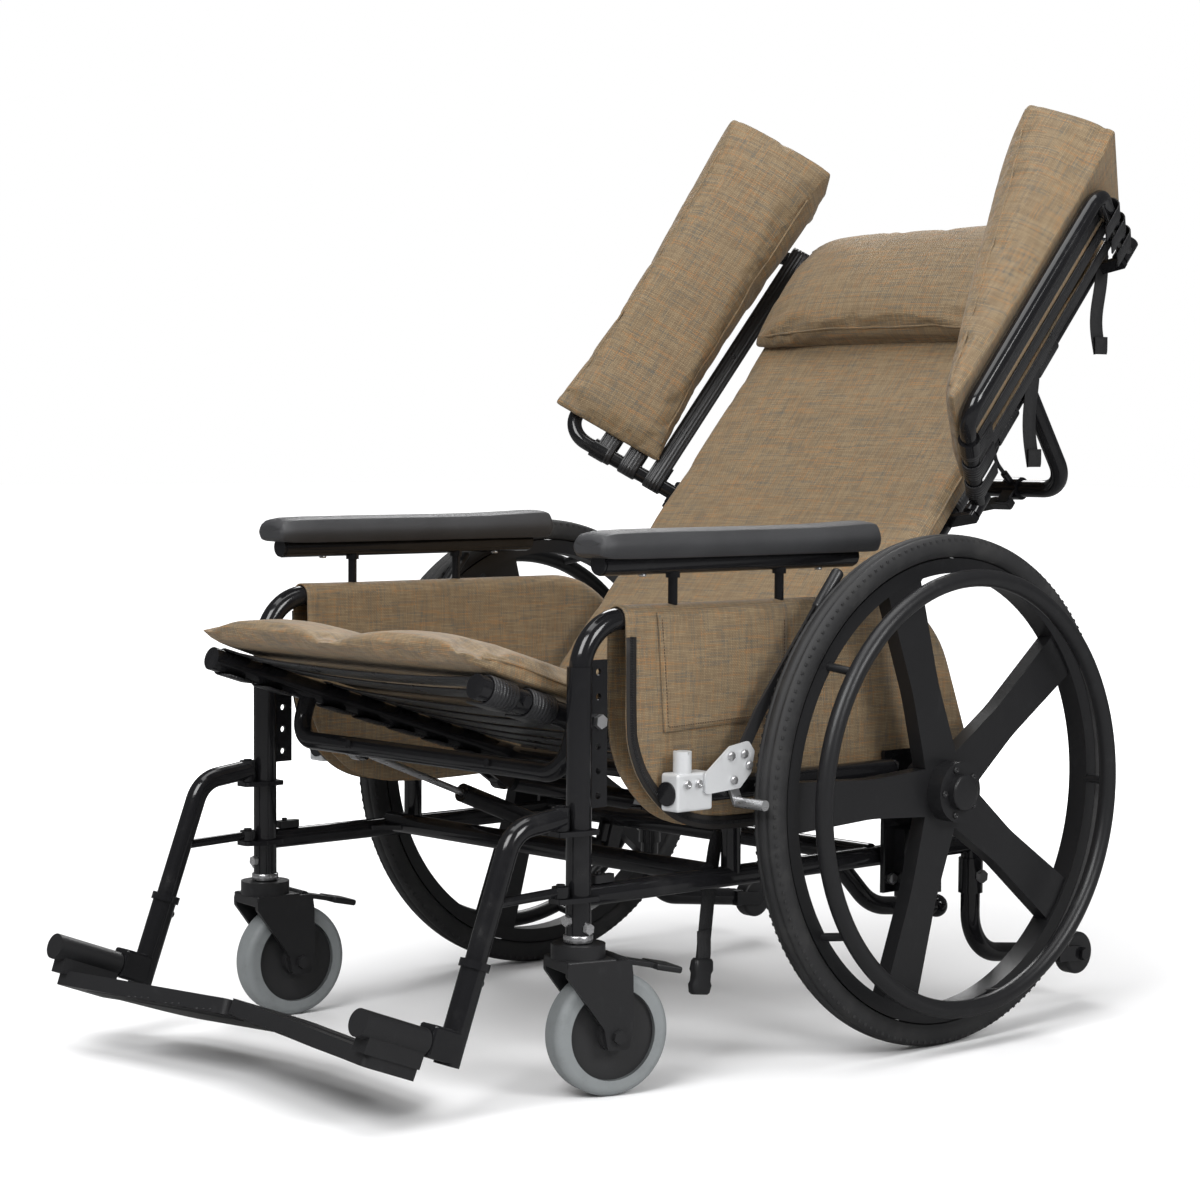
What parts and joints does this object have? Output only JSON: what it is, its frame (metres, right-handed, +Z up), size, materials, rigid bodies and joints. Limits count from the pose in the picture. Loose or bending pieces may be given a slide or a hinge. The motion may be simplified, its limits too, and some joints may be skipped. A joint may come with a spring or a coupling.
{
  "type": "tilt-in-space wheelchair",
  "caption": "Tilt and recline wheelchair with sling-strapped seat and back, swinging side wings, sliding armrests, swing-away footrests, swivel casters and large bladed rear wheels",
  "frame": {"origin": "middle of the bounding box's base, on the floor", "axes": "+Z up, the chair faces -Y, +X is the sitter's left"},
  "size_m": [0.781, 1.2044, 1.0461],
  "materials": {
    "frame": "gloss black enamel",
    "cloth": "woven brown melange",
    "vinyl": "satin grain",
    "strap": "glossy webbing",
    "black_plastic": "matte",
    "wheel_plastic": "satin",
    "tyre": "matte",
    "caster_rubber": "matte",
    "steel": "brushed",
    "dark_steel": "satin",
    "cast": "cast"
  },
  "bodies": {
    "base": {"side_frame_left": "frame", "side_frame_right": "frame", "base_cross_tubes": "frame", "axle_brackets": "dark_steel", "side_panel_left": "cloth", "side_panel_right": "cloth", "wheel_lock_housings": "cast", "antitip_arms": "frame", "frame_bolts": "steel", "seat_belt": "strap"},
    "seat": {"seat_frame": "frame", "seat_straps": "strap", "seat_cushion": "cloth"},
    "back": {"back_frame": "frame", "back_straps": "strap", "back_cushion": "cloth", "head_pillow": "cloth", "push_handle": "frame", "control_cables": "black_plastic", "strap_tails": "strap"},
    "wing_left": {"wing_frame_left": "frame", "wing_straps_left": "strap", "wing_pad_left": "cloth"},
    "arm_left": {"arm_frame_left": "frame", "arm_pad_left": "vinyl"},
    "hanger_left": {"hanger_left": "frame"},
    "extension_left": {"extension_left": "frame"},
    "footplate_left": {"footplate_left": "wheel_plastic"},
    "hanger_latch_left": {"hanger_latch_left": "dark_steel"},
    "caster_fork_left": {"caster_fork_left": "frame"},
    "caster_wheel_left": {"caster_wheel_left": "caster_rubber"},
    "caster_pedal_left": {"caster_pedal_left": "black_plastic"},
    "rear_wheel_left": {"rear_wheel_left": "wheel_plastic", "rear_tyre_left": "tyre"},
    "lock_handle_left": {"lock_handle_left": "dark_steel"},
    "lock_shoe_left": {"lock_shoe_left": "steel"},
    "antitip_wheel_left": {"antitip_wheel_left": "black_plastic"},
    "wing_right": {"wing_frame_right": "frame", "wing_straps_right": "strap", "wing_pad_right": "cloth"},
    "arm_right": {"arm_frame_right": "frame", "arm_pad_right": "vinyl"},
    "hanger_right": {"hanger_right": "frame"},
    "extension_right": {"extension_right": "frame"},
    "footplate_right": {"footplate_right": "wheel_plastic"},
    "hanger_latch_right": {"hanger_latch_right": "dark_steel"},
    "caster_fork_right": {"caster_fork_right": "frame"},
    "caster_wheel_right": {"caster_wheel_right": "caster_rubber"},
    "caster_pedal_right": {"caster_pedal_right": "black_plastic"},
    "rear_wheel_right": {"rear_wheel_right": "wheel_plastic", "rear_tyre_right": "tyre"},
    "lock_handle_right": {"lock_handle_right": "dark_steel"},
    "lock_shoe_right": {"lock_shoe_right": "steel"},
    "antitip_wheel_right": {"antitip_wheel_right": "black_plastic"},
    "tilt_release_lever": {"tilt_release_lever": "black_plastic"},
    "recline_release_lever": {"recline_release_lever": "black_plastic"},
    "tilt_cylinder": {"tilt_cylinder": "dark_steel"},
    "tilt_rod": {"tilt_rod": "steel"},
    "recline_cylinder": {"recline_cylinder": "dark_steel"},
    "recline_rod": {"recline_rod": "steel"}
  },
  "joints": [
    {"name": "seat_tilt", "type": "hinge", "parent": "base", "child": "seat", "pos_m": [0, -0.29591, 0.378], "axis": [1, 0, 0], "range_deg": [-8, 17]},
    {"name": "back_recline", "type": "hinge", "parent": "seat", "child": "back", "pos_m": [0, 0.0521, 0.2819], "axis": [1, 0, 0], "range_deg": [-3, 24]},
    {"name": "wing_swing_left", "type": "hinge", "parent": "back", "child": "wing_left", "pos_m": [0.249, 0.0506, 0.29832], "axis": [0, 0.6626, 0.749], "range_deg": [-3, 15]},
    {"name": "arm_height_left", "type": "slide", "parent": "base", "child": "arm_left", "axis": [0, 0, 1], "range_m": [-0.015, 0.06]},
    {"name": "hanger_swing_left", "type": "hinge", "parent": "base", "child": "hanger_left", "pos_m": [0.268, -0.34391, 0], "axis": [0, 0, 1], "range_deg": [0, 90]},
    {"name": "extension_slide_left", "type": "slide", "parent": "hanger_left", "child": "extension_left", "axis": [0, 0.3535, 0.9354], "range_m": [0, 0.045]},
    {"name": "footplate_flip_left", "type": "hinge", "parent": "extension_left", "child": "footplate_left", "pos_m": [0.268, -0.48503, 0.07027], "axis": [0, 0.9354, -0.3535], "range_deg": [0, 85]},
    {"name": "latch_turn_left", "type": "hinge", "parent": "base", "child": "hanger_latch_left", "pos_m": [0.268, -0.29291, 0], "axis": [0, 0, 1], "range_deg": [-20, 20]},
    {"name": "caster_swivel_left", "type": "hinge", "parent": "base", "child": "caster_fork_left", "pos_m": [0.268, -0.31991, 0], "axis": [0, 0, 1], "continuous": true},
    {"name": "caster_roll_left", "type": "hinge", "parent": "caster_fork_left", "child": "caster_wheel_left", "pos_m": [0.2766, -0.28909, 0.0635], "axis": [0.9632, -0.2689, 0], "continuous": true},
    {"name": "caster_pedal_turn_left", "type": "hinge", "parent": "caster_fork_left", "child": "caster_pedal_left", "pos_m": [0.27876, -0.28139, 0.137], "axis": [0.9632, -0.2689, 0], "range_deg": [-15, 5]},
    {"name": "rear_roll_left", "type": "hinge", "parent": "base", "child": "rear_wheel_left", "pos_m": [0.335, 0.15159, 0.28], "axis": [1, 0, 0], "continuous": true},
    {"name": "lock_handle_turn_left", "type": "hinge", "parent": "base", "child": "lock_handle_left", "pos_m": [0.3117, -0.13491, 0.338], "axis": [1, 0, 0], "range_deg": [0, 60]},
    {"name": "lock_shoe_turn_left", "type": "hinge", "parent": "base", "child": "lock_shoe_left", "pos_m": [0.3117, -0.14991, 0.312], "axis": [1, 0, 0], "range_deg": [0, 10]},
    {"name": "antitip_roll_left", "type": "hinge", "parent": "base", "child": "antitip_wheel_left", "pos_m": [0.268, 0.47009, 0.055], "axis": [1, 0, 0], "continuous": true},
    {"name": "wing_swing_right", "type": "hinge", "parent": "back", "child": "wing_right", "pos_m": [-0.249, 0.0506, 0.29832], "axis": [0, -0.6626, -0.749], "range_deg": [-18, 0]},
    {"name": "arm_height_right", "type": "slide", "parent": "base", "child": "arm_right", "axis": [0, 0, 1], "range_m": [-0.015, 0.06]},
    {"name": "hanger_swing_right", "type": "hinge", "parent": "base", "child": "hanger_right", "pos_m": [-0.268, -0.34391, 0], "axis": [0, 0, -1], "range_deg": [0, 90]},
    {"name": "extension_slide_right", "type": "slide", "parent": "hanger_right", "child": "extension_right", "axis": [0, 0.3535, 0.9354], "range_m": [0, 0.045]},
    {"name": "footplate_flip_right", "type": "hinge", "parent": "extension_right", "child": "footplate_right", "pos_m": [-0.268, -0.48503, 0.07027], "axis": [0, -0.9354, 0.3535], "range_deg": [0, 85]},
    {"name": "latch_turn_right", "type": "hinge", "parent": "base", "child": "hanger_latch_right", "pos_m": [-0.268, -0.29291, 0], "axis": [0, 0, 1], "range_deg": [-20, 20]},
    {"name": "caster_swivel_right", "type": "hinge", "parent": "base", "child": "caster_fork_right", "pos_m": [-0.268, -0.31991, 0], "axis": [0, 0, 1], "continuous": true},
    {"name": "caster_roll_right", "type": "hinge", "parent": "caster_fork_right", "child": "caster_wheel_right", "pos_m": [-0.26416, -0.28815, 0.0635], "axis": [0.9928, -0.1201, 0], "continuous": true},
    {"name": "caster_pedal_turn_right", "type": "hinge", "parent": "caster_fork_right", "child": "caster_pedal_right", "pos_m": [-0.2632, -0.2802, 0.137], "axis": [0.9928, -0.1201, 0], "range_deg": [-15, 5]},
    {"name": "rear_roll_right", "type": "hinge", "parent": "base", "child": "rear_wheel_right", "pos_m": [-0.335, 0.15159, 0.28], "axis": [1, 0, 0], "continuous": true},
    {"name": "lock_handle_turn_right", "type": "hinge", "parent": "base", "child": "lock_handle_right", "pos_m": [-0.3117, -0.13491, 0.338], "axis": [1, 0, 0], "range_deg": [0, 60]},
    {"name": "lock_shoe_turn_right", "type": "hinge", "parent": "base", "child": "lock_shoe_right", "pos_m": [-0.3117, -0.14991, 0.312], "axis": [1, 0, 0], "range_deg": [0, 10]},
    {"name": "antitip_roll_right", "type": "hinge", "parent": "base", "child": "antitip_wheel_right", "pos_m": [-0.268, 0.47009, 0.055], "axis": [1, 0, 0], "continuous": true},
    {"name": "tilt_release_turn", "type": "hinge", "parent": "back", "child": "tilt_release_lever", "pos_m": [0.118, 0.51793, 0.58583], "axis": [0, 0.749, -0.6626], "range_deg": [0, 11]},
    {"name": "recline_release_turn", "type": "hinge", "parent": "back", "child": "recline_release_lever", "pos_m": [-0.118, 0.51793, 0.58583], "axis": [0, -0.749, 0.6626], "range_deg": [0, 11]},
    {"name": "tilt_cylinder_turn", "type": "hinge", "parent": "base", "child": "tilt_cylinder", "pos_m": [-0.15, 0.09509, 0.165], "axis": [1, 0, 0], "range_deg": [-2.02, 0.95]},
    {"name": "tilt_rod_slide", "type": "slide", "parent": "tilt_cylinder", "child": "tilt_rod", "axis": [0, -0.9297, 0.3684], "range_m": [-0.01466, 0.0069]},
    {"name": "recline_cylinder_turn", "type": "hinge", "parent": "seat", "child": "recline_cylinder", "pos_m": [0.1, -0.27952, 0.30363], "axis": [1, 0, 0], "range_deg": [-0.96, 0.12]},
    {"name": "recline_rod_slide", "type": "slide", "parent": "recline_cylinder", "child": "recline_rod", "axis": [0, 0.9803, -0.1973], "range_m": [-0.00245, 0.01961]}
  ],
  "couplings": [
    {"joint": "lock_shoe_turn_left", "follows": "lock_handle_turn_left", "ratio": 0.16667},
    {"joint": "lock_shoe_turn_right", "follows": "lock_handle_turn_right", "ratio": 0.16667},
    {"joint": "tilt_cylinder_turn", "follows": "seat_tilt", "ratio": -0.1187},
    {"joint": "tilt_rod_slide", "follows": "seat_tilt", "m_per_rad": -0.0494},
    {"joint": "recline_cylinder_turn", "follows": "back_recline", "ratio": -0.0399},
    {"joint": "recline_rod_slide", "follows": "back_recline", "m_per_rad": 0.04682}
  ]
}
